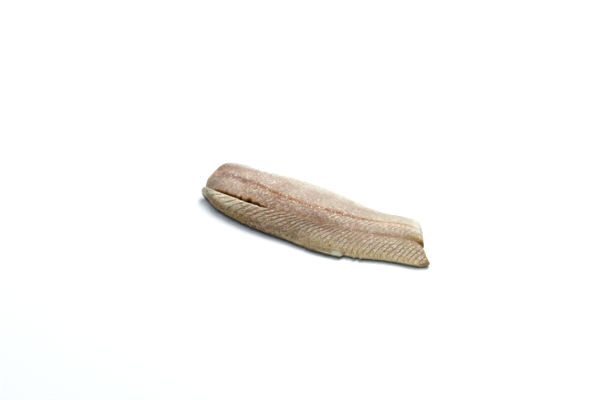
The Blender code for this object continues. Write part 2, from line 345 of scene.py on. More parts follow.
# Its width on the flap's side, where its wall starts and ends, and the layers of its waver
FLAP_SIDE_WIDTH, SLIT_WALL = 0.55, (0.25, 1.1)
SLIT_WAVER = ((0.25, 2.3, 31), (0.12, 0.9, 32))
# Bites out of the loin beside the slit, as (along, reach, half width)
BITES = ((-73.3, 0.3, 1.5), (-70.4, 0.25, 1.4), (-66.9, 0.45, 1.9), (-63.2, 0.3, 2),
         (-59.8, 0.5, 1.4), (-55.2, 1, 1.4), (-48.4, 1.6, 2.7), (-42.2, 0.6, 3.8),
         (-36.6, 0.3, 2))
BITE_FLAT = 0.3
NOTCH_DEPTH, NOTCH_STARTS, NOTCH_HALF_WIDTH = 0.7, (69, 77), 1
# The furrow's depth at the blunt end, and how much deeper it gets from here to there
FURROW_DEPTH, FURROW_DEEPER, FURROW_DEEPENS, FURROW_HALF_WIDTH = 0.08, 0.27, (-62, -42), 2


def slit_open(x):
    """How open the slit is: it opens slowly from the blunt end and closes faster."""
    return ramp(x, *SLIT_OPENS) * (1 - ramp(x, *SLIT_CLOSES))


def slit_offset(x, y):
    """The distance from the slit's wavering middle, positive on the loin's side."""
    return y - follow(GROOVE, x) + unevenness(x, 0, SLIT_WAVER)


def slit_gap(x, y):
    """0 at the trench's bottom to 1 at its lips. The loin's side is bitten, the flap's is even."""
    offset = slit_offset(x, y)
    bites = sum(reach * near(x, place, half, BITE_FLAT) for place, reach, half in BITES)
    return np.abs(offset) / np.where(offset > 0, follow(SLIT_WIDTH, x) + bites, FLAP_SIDE_WIDTH)


def trenches(x, y):
    """How much the slit, the midline furrow and the notch take away."""
    slit = follow(SLIT_DEPTH, x) * slit_open(x) * (1 - ramp(slit_gap(x, y), *SLIT_WALL))
    notch = NOTCH_DEPTH * ramp(x, *NOTCH_STARTS) * near(y, follow(GROOVE, x), NOTCH_HALF_WIDTH)
    furrow_depth = FURROW_DEPTH + FURROW_DEEPER * ramp(x, *FURROW_DEEPENS)
    return slit + notch + furrow_depth * near(y, follow(MIDLINE, x), FURROW_HALF_WIDTH)


print("depth of the open slit, mm:", np.round(trenches(-48, follow(GROOVE, -48)), 1))

# %% [markdown]
# The last word on the height belongs to the knife. The blunt end is rounded like a roll, while
# the notched end is one oblique cut, with a flat face on the flap. Small unevenness of three
# sizes keeps the light from sliding over the flesh as over plastic.

# %% The whole upper surface
# By share of the width: how far in each end is rounded, and how high its rim stands
BLUNT_ROUNDING = ((0, 2), (0.42, 2.5), (0.6, 8), (1, 8))
CUT_ROUNDING = ((0, 2.4), (0.42, 2.8), (0.55, 4), (1, 4))
BLUNT_RIM = ((0, 4.8), (0.42, 6.6), (0.6, 7), (1, 7.4))
CUT_RIM = ((0, 0.6), (0.42, 0.4), (0.55, 0.5), (0.9, 0.6), (1, 0.95))
# How much of the flap's cut end is a straight bevel, not a round
BEVEL_PART = 0.65
# The depth of a ridge in millimetres, and the level of its profile that stays in place
RIDGE_DEPTH, RIDGE_LEVEL = 0.26, 0.8
# Layers of unevenness on all the flesh, and where it is torn
GRAIN_LAYERS = ((0.30, 13, 41), (0.13, 5.2, 42), (0.05, 1.7, 43))
TORN_LAYERS = ((0.08, 2.3, 44), (0.10, 1.1, 45))
# It is torn on a strip of this half width along the midline, which calms down towards the cut
TORN_STRIP, STRIP_CALMS, STRIP_CALM = 0.09, (10, 45), 0.65
# The blunt half of the loin is torn this much: where that starts across, and ends along
TORN_LOIN, TORN_LOIN_STARTS, TORN_LOIN_ENDS = 0.7, (0.46, 0.55), (-38, -8)
TEARS_START = (-70, -52)
# How the detail starts, in millimetres from each end and by share from each edge
BLUNT_FADE, CUT_FADE, BELLY_FADE, BACK_FADE = (1, 9), (0.5, 3), (0, 0.10), (0.93, 1)
# How much of the ridges the open slit takes away, and how many gaps wide
SLIT_CALM, SLIT_CALM_GAPS = 0.9, 2


def end_fade(from_blunt, from_notched):
    """How much of the detail there is: none at either end, and all of it between them."""
    return ramp(from_blunt, *BLUNT_FADE) * ramp(from_notched, *CUT_FADE)


def torn_flesh(x, v):
    """How torn the flesh is: the greater of a strip on the midline and the loin's blunt half."""
    midline = near(v, MIDLINE_SHARE, TORN_STRIP) * (1 - STRIP_CALM * ramp(x, *STRIP_CALMS))
    blunt_loin = TORN_LOIN * ramp(v, *TORN_LOIN_STARTS) * (1 - ramp(x, *TORN_LOIN_ENDS))
    return np.maximum(midline, blunt_loin) * ramp(x, *TEARS_START)


def flesh_height(v, x, y, from_blunt, from_notched):
    """Body less trenches plus ridges and lumps, brought down to the rim at both ends."""
    by_slit = SLIT_CALM * slit_open(x) * near(slit_gap(x, y), 0, SLIT_CALM_GAPS)
    fade = end_fade(from_blunt, from_notched) * (1 - by_slit)
    profile = ridge_profile(ridge_number(x, y, v), x)
    ridges = RIDGE_DEPTH * ridge_strength(x, v) * (profile - RIDGE_LEVEL)
    grain = unevenness(x, y, GRAIN_LAYERS) + torn_flesh(x, v) * unevenness(x, y, TORN_LAYERS)
    inward = ramp(v, *BELLY_FADE) * (1 - ramp(v, *BACK_FADE))
    z = body_height(x, v) - trenches(x, y) + fade * (ridges + inward * grain)
    blunt_rim, cut_rim = np.minimum(z, follow(BLUNT_RIM, v)), z * follow(CUT_RIM, v)
    rim = np.where(from_blunt < from_notched, blunt_rim, cut_rim)
    cut_rounding = follow(CUT_ROUNDING, v)
    cut = rounded(from_notched, cut_rounding)
    bevel = portion(from_notched, 0, cut_rounding)
    cut = np.where(v < GROOVE_SHARE, (1 - BEVEL_PART) * cut + BEVEL_PART * bevel, cut)
    return rim + (z - rim) * rounded(from_blunt, follow(BLUNT_ROUNDING, v)) * cut


print("torn flesh on the midline:", np.round(torn_flesh(0, MIDLINE_SHARE), 2))

# %% [markdown]
# ## One closed surface
# Flesh has an inside, so its surface must close. The upper side is a fine grid of the two
# shares. Its border goes down a wall of rings, and a coarse grid closes the flat underside,
# where nobody looks closely. Between the last fine ring and the coarse grid, each face joins
# four short edges to one long one. The wall bulges at the lip and draws in under it, which
# gives the dark line of shadow that a real fillet has along its edge.

# %% Stations of the grid
COLUMNS, ROWS, COARSER = 632, 128, 4
WALL_LEVELS = (0.94, 0.84, 0.72, 0.60, 0.48, 0.32, 0.14)
# Dips in the spacing of the stations, as (depth, reach), at the ends, the edges and the slit
BLUNT_DIP, CUT_DIP, BELLY_DIP, BACK_DIP = (0.75, 0.02), (0.75, 0.015), (0.7, 0.02), (0.8, 0.03)
SLIT_DIP, SLIT_SHARE = (0.75, 0.02), GROOVE_SHARE + 0.01


def crowded(count, spacing):
    """count + 1 stations from 0 to 1, as far apart as spacing says: it sums 1 / spacing."""
    fine = np.linspace(0, 1, 4001)
    steps = 1 / spacing((fine[1:] + fine[:-1]) / 2)
    return np.interp(np.linspace(0, 1, count + 1), np.r_[0, np.cumsum(steps)] / steps.sum(), fine)


def dip(distance, depth, reach):
    """How much closer the stations are at a border: depth * e^-(distance / reach)."""
    return depth * np.exp(-distance / reach)


def column_spacing(u):
    """1 less a dip at each end, because the surface turns over there."""
    return 1 - dip(u, *BLUNT_DIP) - dip(1 - u, *CUT_DIP)


def row_spacing(v):
    """1 less a dip at each edge, and less a bell at the slit: depth * e^-(distance / reach)^2."""
    depth, reach = SLIT_DIP
    bell = depth * np.exp(-((v - SLIT_SHARE) / reach) ** 2)
    return 1 - bell - dip(v, *BELLY_DIP) - dip(1 - v, *BACK_DIP)


columns, rows = crowded(COLUMNS, column_spacing), crowded(ROWS, row_spacing)
print("columns and rows:", len(columns), len(rows))

# %% Points of the surface
BELLY_DRAW_IN, BACK_DRAW_IN, END_DRAW_IN = 0.17, 0.05, 0.018
# The hollow under the lip starts at this share of the wall's height, and a power shapes it
HOLLOW_TOP, HOLLOW_POWER = 0.72, 0.8
# How far the lip's top tucks in, as a share of the width, for each millimetre of its height,
# and where that starts up the wall and ends across the flap
LIP_TUCK, TUCK_UP_WALL, TUCK_ENDS = 0.006, (0.5, 1), (0, 0.14)


def surface(u, v, w):
    """The point of share u along, v across and w up the wall, in millimetres.

    Below the lip the wall runs in almost flat over a hollow, as a power of its depth, and then
    down. It tucks in a little at the very top, so that the lip is round.
    """
    x, y, from_blunt, from_notched = plan(u, v)
    top = flesh_height(v, x, y, from_blunt, from_notched)
    under = portion(w, HOLLOW_TOP, 0) ** HOLLOW_POWER
    tuck = LIP_TUCK * follow(LIP_HEIGHT, x) * ramp(w, *TUCK_UP_WALL) * (1 - ramp(v, *TUCK_ENDS))
    drawn_u = u + under * END_DRAW_IN * (1 - 2 * u)
    drawn_v = v + under * (BELLY_DRAW_IN * (1 - v) - BACK_DRAW_IN * v) + tuck
    x, y = plan(drawn_u, drawn_v)[:2]
    return np.column_stack([x - MIDDLE[0], y - MIDDLE[1], top * w])


print("levels of the wall:", len(WALL_LEVELS))

# %% Helpers for grids of points


def border(grid):
    """The outer ring of a grid, anticlockwise from above."""
    return np.concatenate([grid[:-1, 0], grid[-1, :-1], grid[:0:-1, -1], grid[0, :0:-1]])


def quads(grid):
    """The faces of a grid, facing up."""
    corners = [grid[:-1, :-1], grid[1:, :-1], grid[1:, 1:], grid[:-1, 1:]]
    return np.stack(corners, axis=-1).reshape(-1, 4)


def strip(upper_ring, lower_ring):
    """The faces of the wall between two rings, facing out."""
    return np.stack([upper_ring, lower_ring, np.roll(lower_ring, -1), np.roll(upper_ring, -1)],
                    axis=-1)


print("faces of a grid of 3 by 3:", len(quads(np.arange(9).reshape(3, 3))))

# %% Number the points and join them
top_u, top_v = np.meshgrid(columns, rows, indexing="ij")
under_u, under_v = top_u[::COARSER, ::COARSER], top_v[::COARSER, ::COARSER]
top_grid = np.arange(top_u.size).reshape(top_u.shape)
top_edge, levels = border(top_grid), len(WALL_LEVELS)
around = len(top_edge)
rings = [top_edge] + [top_u.size + level * around + np.arange(around) for level in range(levels)]
under_grid = rings[-1][-1] + 1 + np.arange(under_u.size).reshape(under_u.shape)
u, v = (np.concatenate([top.ravel(), np.tile(top.ravel()[top_edge], levels), under.ravel()])
        for top, under in ((top_u, under_u), (top_v, under_v)))
w = np.concatenate([np.ones(top_u.size), np.repeat(WALL_LEVELS, around), np.zeros(under_u.size)])
wall = [strip(upper_ring, lower_ring) for upper_ring, lower_ring in zip(rings, rings[1:])]
under_edge = border(under_grid)
short_edges = [np.roll(rings[-1], -k)[::COARSER] for k in range(COARSER + 1)]
joins = [short_edges[0], under_edge, np.roll(under_edge, -1)] + short_edges[:0:-1]
four_sided = np.concatenate([quads(top_grid)] + wall + [quads(under_grid)[:, ::-1]])
faces = four_sided.tolist() + np.stack(joins, axis=-1).tolist()
print("faces:", len(faces), "of which join fine to coarse:", len(under_edge))

# %% Build the closed mesh
points = surface(u, v, w)
flesh_mesh = bpy.data.meshes.new("herring_flesh")
flesh_mesh.from_pydata((points * MM).tolist(), [], faces)
flesh_mesh.shade_smooth()
flesh = bpy.data.objects.new("herring_flesh", flesh_mesh)
scene.collection.objects.link(flesh)
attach(flesh, "root")
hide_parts("herring_fillet")
triangles = sum(len(face) - 2 for face in faces)
print("flesh:", len(points), "points,", triangles, "triangles")
print("flesh, mm:", np.ptp(points, axis=0).round(1))

# %% [markdown]
# ## What the flesh knows about itself
# The colours follow the anatomy, not the picture. So each point of the mesh stores what it
# knows: its ridge number, how strong the ridge is there, its share of the width, how far it is
# from the midline and from the groove, how deep it is in the slit, and how far down the wall.
# The material reads these attributes and mixes the colours itself, so the pattern is as sharp
# as the render needs.

# %% What is known at the slit and the knife's face
# Bites that reach this far get painted shade inside, the hollow by the slit's middle half as much
DEEP_BITE, BITE_SPREAD = (0.45, 0.6), 1.2
HOLLOW, HOLLOW_DARKNESS = (-67.5, 9, 0.7), 0.5
# Where the knife's face ends: in parts of the cut's rounding, and by share of the width
FACE_ENDS, FACE_ENDS_ACROSS = (0.75, 1), (0.40, 0.48)


def slit_shade_along(x):
    """How much painted shade the slit has: a little over its first half, most in the deep bites.
    """
    bites = sum(ramp(reach, *DEEP_BITE) * near(x, place, BITE_SPREAD * half, BITE_FLAT)
                for place, reach, half in BITES)
    return np.maximum(bites, HOLLOW_DARKNESS * near(x, *HOLLOW))


def knife_face(v, from_cut):
    """1 on the flat face at the flap's cut end, where from_cut is in parts of its rounding."""
    return (1 - ramp(from_cut, *FACE_ENDS)) * (1 - ramp(v, *FACE_ENDS_ACROSS))


print("how dark the widest bite is:", np.round(slit_shade_along(-48.4), 2))

# %% Store the attributes
# In widths of the slit: where its inside and its core end, and the humps of its rim and lip
INSIDE_ENDS, CORE_ENDS, RIM_HUMP, LIP_HUMP = (0.65, 1.3), (0.6, 1.05), (1.35, 1.2), (1.9, 1.6)
# Where the core starts, in millimetres from the slit's middle, and the lobe ends, by share
CORE_STARTS, LOBE_ENDS = (0.1, 0.8), (0.02, LOBE_SHARE)
x, y, from_blunt, from_notched = plan(u, v)
past_groove = y - follow(GROOVE, x)
gap, open_on_top = slit_gap(x, y), slit_open(x) * (w > 0.99)
facts = {
    "share": v,
    "ridge": ridge_number(x, y, v),
    "strength": ridge_strength(x, v) * end_fade(from_blunt, from_notched) * w,
    "from_midline": y - follow(MIDLINE, x),
    "from_groove": past_groove,
    "slit": open_on_top * (1 - ramp(gap, *INSIDE_ENDS)),
    "slit_shade": (open_on_top * (1 - ramp(gap, *CORE_ENDS)) * slit_shade_along(x)
                  * ramp(slit_offset(x, y), *CORE_STARTS)),
    "slit_rim": open_on_top * near(gap, *RIM_HUMP) * (past_groove > 0),
    "slit_lip": open_on_top * near(gap, *LIP_HUMP) * (past_groove < 0),
    "knife": knife_face(v, from_notched / follow(CUT_ROUNDING, v)),
    "from_blunt": from_blunt,
    "from_notched": from_notched,
    "down": 1 - w,
    "lobe": lobe(x) * (1 - ramp(v, *LOBE_ENDS)),
}
for name, values in facts.items():
    attribute = flesh_mesh.attributes.new(name, "FLOAT", "POINT")
    attribute.data.foreach_set("value", np.asarray(values, np.float32))
print("attributes:", ", ".join(facts))

# %% [markdown]
# ## Shader maths
# A material is a graph of nodes, and long sums of masks are hard to read as a graph. The class
# below wraps one socket, so that masks can be written as plain expressions. Two more hold a
# graph and make its nodes, the second of them for a material.

# %% A class for numbers that change over the surface


class Mask:
    """A number that changes over the surface. An operator adds the Math node it stands for."""

    def __init__(self, graph, socket):
        self.graph, self.socket = graph, socket

    def maths(self, operation, *inputs):
        """What a Math node makes of the inputs, in their order."""
        node = self.graph.node("ShaderNodeMath", {"operation": operation}, dict(enumerate(inputs)))
        return Mask(self.graph, node.outputs[0])

    def __add__(self, other):
        return self.maths("ADD", self, other)

    def __sub__(self, other):
        return self.maths("SUBTRACT", self, other)

    def __mul__(self, other):
        return self.maths("MULTIPLY", self, other)

    def __truediv__(self, other):
        return self.maths("DIVIDE", self, other)

    def __rsub__(self, other):
        return self.maths("SUBTRACT", other, self)

    __radd__ = __add__
    __rmul__ = __mul__

    def size(self):
        return self.maths("ABSOLUTE", self)

    def sine(self):
        return self.maths("SINE", self)

    def swing(self, width):
        """Noise from 0 to 1 as a shift to both sides, which is this wide in all."""
        return (self - 0.5) * width

    def above(self, low, high, bottom=0, top=1):
        """0 below low, 1 above high, and an eased rise between. With low over high it falls."""
        node = self.graph.node("ShaderNodeMapRange", {"interpolation_type": "SMOOTHSTEP"},
                               {0: self, 1: low, 2: high, 3: bottom, 4: top})
        return Mask(self.graph, node.outputs[0])

    def within(self, low, rises_to, falls_from, high):
        """1 between the inner two values, with an eased fall to 0 at the outer two."""
        return self.above(low, rises_to) * self.above(high, falls_from)


print("a mask knows:", [name for name in vars(Mask) if "_" not in name])

# %% Classes for graphs and materials


class Graph:
    """The nodes of a material or of the world, with a method that makes any node."""

    def __init__(self, tree):
        self.tree = tree

    def node(self, kind, settings, inputs):
        """A node of that type, with its settings first and then its socket values or links."""
        node = self.tree.nodes.new(kind)
        for name, value in settings.items():
            setattr(node, name, value)
        for name, value in inputs.items():
            self.join(value, node.inputs[name])
        return node

    def join(self, value, socket):
        """Puts a number, a colour or a link into a socket."""
        if isinstance(value, Mask):
            value = value.socket
        if isinstance(value, bpy.types.NodeSocket):
            self.tree.links.new(value, socket)
        else:
            socket.default_value = value


class Finish(Graph):
    """A material. Its place is the Object coordinates, so a pattern stays on the piece."""

    def __init__(self, name):
        self.material = bpy.data.materials.new(name)
        self.material.use_nodes = True
        super().__init__(self.material.node_tree)
        self.shader = self.tree.nodes["Principled BSDF"]
        self.place = self.node("ShaderNodeTexCoord", {}, {}).outputs["Object"]

    def fact(self, name):
        """An attribute that the mesh stores."""
        attribute = self.node("ShaderNodeAttribute", {"attribute_name": name}, {})
        return Mask(self, attribute.outputs["Fac"])

    def noise(self, size, detail=3, stretch=(1, 1, 1), move=0):
        """Noise from 0 to 1 whose lumps are about size millimetres wide."""
        at = self.node("ShaderNodeMapping", {}, {"Vector": self.place, "Scale": stretch,
                                                 "Location": (move, move, move)}).outputs[0]
        node = self.node("ShaderNodeTexNoise", {}, {"Vector": at, "Scale": 0.6 / (size * MM),
                                                    "Detail": detail, "Roughness": 0.55})
        return Mask(self, node.outputs[0])

    def mix(self, factor, first, second):
        """Colour: first where the factor is 0, second where it is 1."""
        node = self.node("ShaderNodeMix", {"data_type": "RGBA", "clamp_factor": True},
                         {0: factor, 6: first, 7: second})
        return node.outputs[2]

    def coats(self, colour, *layers):
        """The colour with paints laid over it one after another, each as (mask, paint)."""
        for mask, over in layers:
            colour = self.mix(mask, colour, over)
        return colour

    def set(self, **values):
        """Values or links of the main shader's sockets. An underscore stands for a space."""
        for name, value in values.items():
            self.join(value, self.shader.inputs[name.replace("_", " ")])


def paint(red, green, blue):
    """A screen colour from 0 to 255 as the linear colour that a shader takes."""
    shares = (channel / 255 for channel in (red, green, blue))
    return (*(s / 12.92 if s < 0.04045 else ((s + 0.055) / 1.055) ** 2.4 for s in shares), 1)


print("mid grey in a shader:", round(paint(128, 128, 128)[0], 3))

# %% [markdown]
# ## Moist herring flesh
# Fresh herring flesh isn't one colour. The loin is pinkish beige at both ends and browner between
# them, where more dark muscle shows through. The flap is cream at the blunt end, brown in the
# middle and warm beige towards the cut. The back pales to its rim, and that pale is partly painted
# glow of the light from behind shining through the thin edge. The belly edge is painted darker
# olive towards the blunt end, partly as shade on its turned-down side. One gradient could not say
# that, and a painted image would be tied to one view. So each region has its paints, and eased
# masks on the share of the width and on the place along the fillet mix them. In each table of
# coats, a mask stands beside the paint that it lets through.

# %% Paints of the regions
# Each region at the blunt end, in the middle and at the notched end
LOIN = paint(191, 162, 138), paint(141, 103, 74), paint(180, 158, 130)
FLAP = paint(247, 234, 205), paint(138, 102, 60), paint(168, 142, 104)
# The belly edge's paints: darker olive towards the blunt end, partly painted shade on its
# turned-down side
EDGE = paint(143, 109, 32), paint(120, 84, 26), paint(205, 177, 116)
BACK = paint(91, 63, 35), paint(166, 147, 130), paint(186, 177, 156)
# The rim's paints are partly painted glow: the light from behind shining through the thin edge
RIM = paint(216, 222, 226), paint(220, 222, 210), paint(205, 222, 215)

moist = Finish("herring_flesh_and_skin")
coats, fact, noise = moist.coats, moist.fact, moist.noise
object_x = moist.node("ShaderNodeSeparateXYZ", {}, {0: moist.place}).outputs["X"]
along = Mask(moist, object_x) / MM
share, strength = fact("share"), fact("strength")
broad, patchy = noise(24), noise(6, move=3)
speckle, grain = noise(1.7, detail=2, move=5), noise(0.9, detail=2, move=7)
place = along + broad.swing(40)
across_share = share + patchy.swing(0.10) + speckle.swing(0.05)


def count_nodes(step):
    """Prints how many nodes the material has so far."""
    print("nodes with the", step + ":", len(moist.tree.nodes))


count_nodes("places and noises")

# %% Loin, flap and back


def graded(paints, to_middle, to_notched):
    """A region's paint along the fillet: the blunt end's, the middle's, then the notched end's."""
    blunt, middle, notched = paints
    return coats(blunt, (to_middle, middle), (to_notched, notched))


loin = graded(LOIN, place.above(-70, -38), place.above(2, 58))
edge = graded(EDGE, along.above(-48, -32), place.above(-16, 32))
back = graded(BACK, place.above(-84, -60), place.above(24, 56))
rim = graded(RIM, along.above(-52, -34), place.above(24, 56))
flap = coats(
    graded(FLAP, place.above(-74, -50), place.above(-12, 26)),
    (along.above(-74, -86) * 0.7, paint(244, 236, 204)),
    (along.above(54, 74) * 0.75, paint(150, 122, 74)),
    # the belly edge, partly painted shade towards the blunt end
    (across_share.above(0.23, 0.05), edge),
)
colour = coats(
    flap,
    (across_share.above(0.36, 0.52), loin),
    (across_share.above(0.68, 0.80), back),
    # the rim, partly painted glow of the light from behind
    (across_share.above(0.82, 0.96) * 0.9, rim),
)
count_nodes("regions")

# %% [markdown]
# Some places fall outside these regions. The skinning knife left a bare margin on the back rim.
# The lower half of the flap is mottled, the blunt end of the back is bruised, and the very tip is
# pale. Beside the groove's middle the flesh is painted darker. The groove itself is a brown
# gully, partly painted shade of its hollow, which fades out towards the slit.

# %% Margin, mottles, bruise, dark patch, tip and groove
bare_margin = share.above(0.955, 0.99)
mottled = across_share.above(0.24, 0.14) * place.within(-46, -30, 4, 24)
bruise = along.within(-82, -74, -64, -50) * share.within(0.64, 0.72, 0.78, 0.88)
dusk = share.within(0.26, 0.42, 0.46, 0.60) * along.within(-28, -8, 10, 30)
tip = fact("from_blunt").above(10, 3) * share.above(0.45, 0.38)
# The groove's brown is partly painted shade of its hollow, deepest near the notched end
groove_brown_and_shade = moist.mix(along.above(50, 68), paint(132, 84, 28), paint(134, 96, 24))
from_groove = fact("from_groove")
gully = (from_groove + patchy.swing(2.5)).size()
colour = coats(
    colour,
    (bare_margin * 0.75, paint(188, 162, 132)),
    (mottled * speckle.above(0.50, 0.38) * 0.5, paint(104, 74, 36)),
    (mottled * speckle.above(0.54, 0.66) * 0.4, paint(198, 180, 136)),
    (bruise * 0.45 * patchy.above(0.3, 0.6), paint(122, 82, 50)),
    (dusk * 0.95, paint(84, 46, 8)),
    (tip * 0.75, paint(232, 236, 206)),
    (gully.above(4.4, 0.5) * along.above(-46, -30) * 0.88, groove_brown_and_shade),
)
count_nodes("patches")

# %% [markdown]
# ## Fibres and torn flesh
# The knife has torn the flesh a little everywhere, most on the blunt half of the loin, where
# it stands up in pale flakes. The fibres between two creases run along them. A noise that is
# sampled by ridge number and share of the width, and not by place, makes streaks that bend
# with the ridges for nothing. Some of the pale on the flakes and streaks is painted glint of
# the wet surface.

# %% Streaks, flakes and grain
# The pale fibre paint is partly painted glint of the wet surface
PALE_FIBRE_AND_GLINT, FIBRE_DULL = paint(238, 224, 200), paint(126, 88, 58)
ridge = fact("ridge")


def fibres(in_a_ridge, in_the_width):
    """Streaks along the ridges: how many fit beside each other in one, and end to end."""
    bent = moist.node("ShaderNodeCombineXYZ", {}, {0: ridge * in_a_ridge, 1: share * in_the_width})
    sample = {"Vector": bent.outputs[0], "Scale": 1, "Detail": 2}
    return Mask(moist, moist.node("ShaderNodeTexNoise", {}, sample).outputs[0])


def two_tone(lumpy, starts, full, pale, dull):
    """Two coats: so much pale where the noise is high, and so much dull where it is low."""
    return ((lumpy.above(starts, full) * pale, PALE_FIBRE_AND_GLINT),
            (lumpy.above(1 - starts, 1 - full) * dull, FIBRE_DULL))


streaks, fine_streaks = fibres(3, 9), fibres(5.5, 22)
back_calm = 0.55 * share.above(0.69, 0.77) + 0.30 * share.above(0.76, 0.84) * along.above(26, 50)
calm = 1 - back_calm - 0.35 * dusk
crisp = along.above(20, 60) * share.above(0.45, 0.38)
torn = share.within(0.45, 0.52, 0.80, 0.96) * along.within(-70, -52, -44, -6)
warmth = noise(4.5, detail=2, move=11)
colour = coats(
    colour,
    *two_tone(speckle, 0.50, 0.66, 0.07 + 0.08 * torn, 0.08 + 0.08 * torn),
    *two_tone(streaks, 0.52, 0.68, 0.30 * calm, 0.26 * calm),
    *two_tone(fine_streaks, 0.54, 0.68, 0.45 * calm, 0.40 * calm),
    *two_tone(grain, 0.54, 0.66, (0.20 + 0.24 * torn + 0.16 * crisp) * calm,
              (0.18 + 0.18 * torn + 0.16 * crisp) * calm),
    (warmth.above(0.48, 0.62) * 0.18, paint(196, 134, 112)),
    (warmth.above(0.48, 0.34) * 0.16, paint(204, 172, 112)),
)
count_nodes("fibres")

# %% [markdown]
# ## Creases and crests
# Each crease is a thin brown line where two sheets of muscle meet, darkened partly as painted
# shade in the crease, with a weaker one halfway, where the cut has caught the next sheet. The
# crests are painted paler, partly as highlight, and thin painted glints run along the flap's
# ridges. Near the cut end the knife crossed the stack more steeply, so dark and light are equally
# wide there and the crests are creamier. The fibres break up every line, and on the loin short
# pale ticks of painted highlight mark the sheets.

# %% Masks of the creases and crests
wide = along.above(-36, -62) * share.above(0.46, 0.44)
cut_end = along.above(38, 76)
contrast = 1 - 0.3 * wide + 0.6 * along.within(-60, -40, -22, 14) - 0.25 * along.above(24, 46)
number = ridge + speckle.swing(0.14) + grain.swing(0.16)
wave, half_wave = (number * math.pi).sine().size(), (number * 2 * math.pi).sine().size()
crease = (wave + cut_end * 0.02 - wide * 0.32).above(0.40, 0.04) * strength.above(0.04, 0.55)
half_crease = half_wave.above(0.40, 0.06) * strength.above(0.25, 0.8) * streaks.above(0.42, 0.56)
# A crest's paler paint is partly painted highlight, and the glints are painted highlight
crest = (wave - cut_end * 0.12).above(0.60, 0.90) * strength.above(0.2, 0.8)
crest = crest * fine_streaks.above(0.42, 0.56)
glints = share.within(0.04, 0.12, 0.26, 0.38) * along.above(-8, 26) * wave.above(0.35, 0.75)
glints = glints * fine_streaks.above(0.50, 0.60) * (0.1 + 0.6 * patchy.above(0.4, 0.6))
broken = (0.16 + 0.84 * streaks.above(0.38, 0.58)) * (0.35 + 0.85 * grain.above(0.36, 0.60))
# Short pale ticks on the loin are painted highlights
highlight_ticks = share.within(0.57, 0.62, 0.69, 0.72) * along.above(-12, 4) * wave.above(0.66, 0.96)
highlight_ticks = highlight_ticks * fine_streaks.above(0.42, 0.58) * speckle.above(0.36, 0.54)
highlight_ticks = highlight_ticks * (0.35 + 1.1 * patchy.above(0.4, 0.6))
# Near the notched end the groove's brown is painted shade deep in the groove
gully_end = gully.above(3.4, 0.4) * along.above(30, 50)
count_nodes("masks of the ridges")

# %% Paint the creases and crests
# Each in the middle, at the cut end, and on the flap's blunt end
# The creases' brown is partly painted shade, and the crests' cream is partly painted highlight
CREASE = paint(102, 72, 46), paint(104, 78, 30), paint(124, 98, 50)
CREST = paint(232, 218, 196), paint(242, 233, 212), paint(238, 226, 186)
crease_brown_and_shade, crest_highlight = (coats(middle, (cut_end, at_cut), (wide, at_blunt))
                             for middle, at_cut, at_blunt in (CREASE, CREST))
rusty = speckle.above(0.50, 0.64) * along.above(-30, 10)
rusty_crease = coats(crease_brown_and_shade, (rusty * 0.7, paint(152, 90, 54)))
colour = coats(
    colour,
    (crest * (0.34 + 0.12 * cut_end) * contrast, crest_highlight),
    (glints, paint(240, 234, 220)),
    (half_crease * (0.30 + 0.34 * cut_end), crease_brown_and_shade),
    (crease * broken * contrast, rusty_crease),
    (highlight_ticks * 0.30, paint(240, 233, 228)),
    # the groove near the notched end, painted shade
    (gully_end * (0.42 + 0.34 * along.above(54, 70)), groove_brown_and_shade),
)
count_nodes("ridges")

# %% [markdown]
# ## The midline
# A strip of dark muscle lies under the skin along the middle of each side of the fish. Seen
# from the flesh side it is a broken rust-coloured line, pinkish at the blunt end and no more
# than a peach-coloured band at the cut end.

# %% Rust, peach and pink along the midline
from_midline = fact("from_midline")
from_line = (from_midline + speckle.swing(2.4) + patchy.swing(1.4)).size()
middle_stretch = along.within(-62, -46, 24, 52)
halo = from_line.above(3.6, 0.4) * middle_stretch
peach = from_line.above(4.8, 0.6) * along.above(10, 42) * (0.5 + 0.5 * along.above(78, 56))
pink = from_line.above(5.2, 0.5) * along.within(-84, -72, -58, -44)
line = from_line.above(1.6, 0.6) * middle_stretch * (0.4 + 0.7 * speckle.above(0.36, 0.54))
# Pale flecks near the midline are painted glints of the wet flesh
glint_flecks = noise(1, detail=2, move=9).above(0.58, 0.66)
glint_flecks = glint_flecks * from_midline.size().above(9, 1.5) * (0.55 - 0.25 * along.above(20, 50))
colour = coats(
    colour,
    (halo * 0.7, paint(166, 114, 58)),
    (peach * 0.7, paint(196, 167, 132)),
    (pink * 0.95, paint(114, 54, 18)),
    (line, paint(138, 78, 14)),
    (glint_flecks, paint(240, 230, 222)),
)
count_nodes("midline")

# %% [markdown]
# ## Slit and cut
# The open slit is amber inside, because light comes through the thin flesh of its walls, and
# its deepest bites are painted nearly black as shade. Its edge on the loin's side is orange, and
# the flap's edge below it is pale. At the far end the knife cut shows yellow flesh: on the flap's
# cut face and a narrow band above it, and on the end of the loin, whose foot is golden where it
# drops into the notch. The notch itself is painted dark brown as its shade.

# %% Paint the slit
slit = fact("slit")
colour = coats(
    colour,
    (fact("slit_lip") * 0.75, paint(226, 220, 206)),
    (fact("slit_rim") * (0.45 + 0.5 * patchy), paint(190, 124, 52)),
    (slit.above(0.05, 0.5) * 0.95, paint(168, 98, 10)),
    # the slit's deepest bites, painted nearly black as shade
    (fact("slit_shade").above(0.1, 0.7) * 0.95, paint(36, 12, 2)),
)
count_nodes("slit")

# %% Paint the cut
to_cut = fact("from_notched")
cut_band = to_cut.above(3.6, 1.6) * share.above(0.46, 0.41)
loin_end = to_cut.above(12, 2) * share.within(0.49, 0.54, 0.57, 0.64)
foot = to_cut.above(17, 5) * share.within(0.462, 0.472, 0.52, 0.575)
white_end = to_cut.above(12, 2) * share.above(0.60, 0.68)
